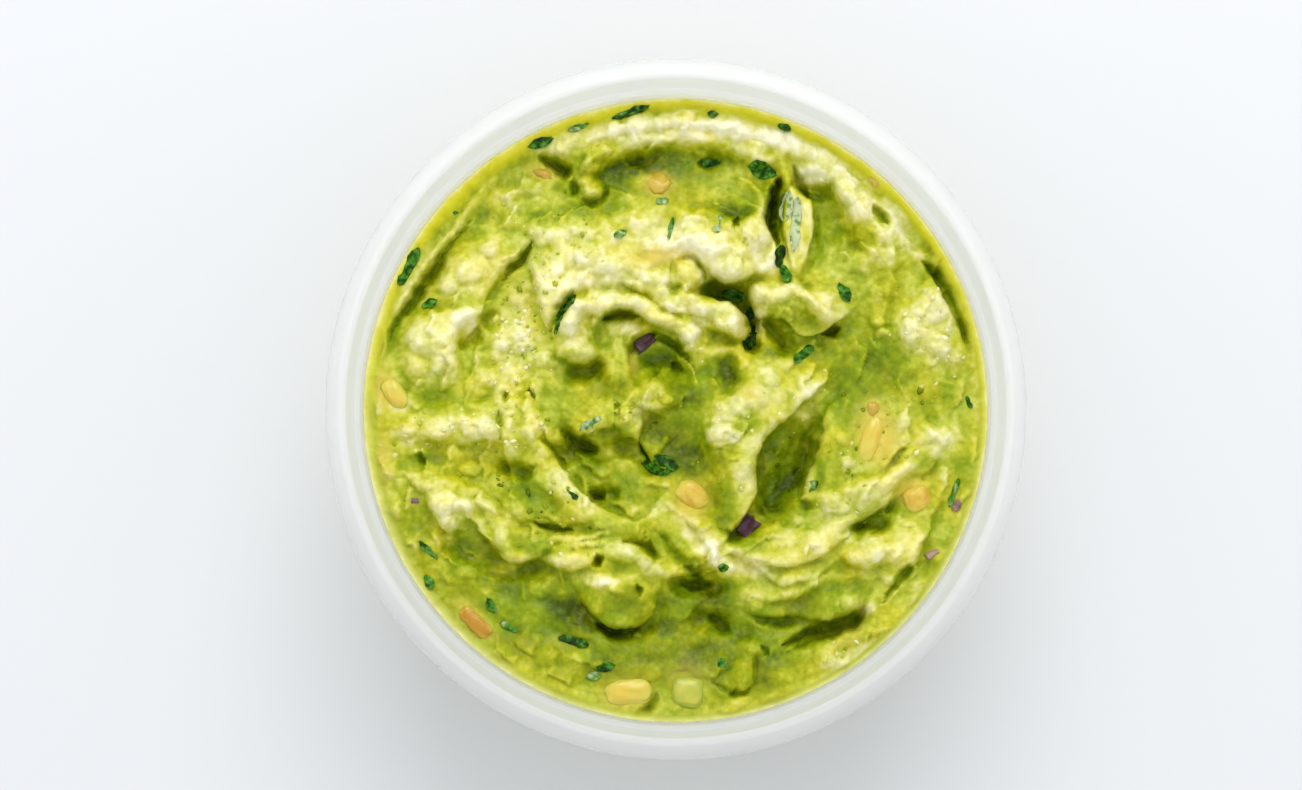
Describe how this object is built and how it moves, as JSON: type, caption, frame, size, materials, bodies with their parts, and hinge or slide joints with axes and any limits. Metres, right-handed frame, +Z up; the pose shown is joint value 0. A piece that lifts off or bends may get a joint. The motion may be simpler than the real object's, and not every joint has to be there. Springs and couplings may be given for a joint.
{
  "type": "tub of guacamole",
  "caption": "Round clear deli tub filled with mashed avocado dip, stirred into folds and hollows, with firm avocado pieces half sunk in its top.",
  "frame": {"origin": "middle of the tub's foot, on the surface it stands on", "axes": "+Z up, out of the tub's mouth; +Y towards the far side of the tub as it is served, +X to its right"},
  "size_m": [0.1172, 0.1172, 0.057],
  "materials": {
    "tub_plastic": "thin clear polypropylene, slightly milky, soft gloss",
    "guacamole": "moist mashed avocado, yellow-green, satin with small wet glints",
    "avocado_flesh": "firm ripe avocado, warm yellow, smooth and moist"
  },
  "bodies": {
    "root": {"tub": "tub_plastic", "guacamole": "guacamole", "avocado_chunk_front_left": "avocado_flesh", "avocado_chunk_front": "avocado_flesh", "avocado_chunk_right": "avocado_flesh", "avocado_chunk_far_right": "avocado_flesh", "avocado_chunk_middle": "avocado_flesh", "avocado_chunk_left": "avocado_flesh", "avocado_chunk_left_front": "avocado_flesh"}
  },
  "joints": []
}
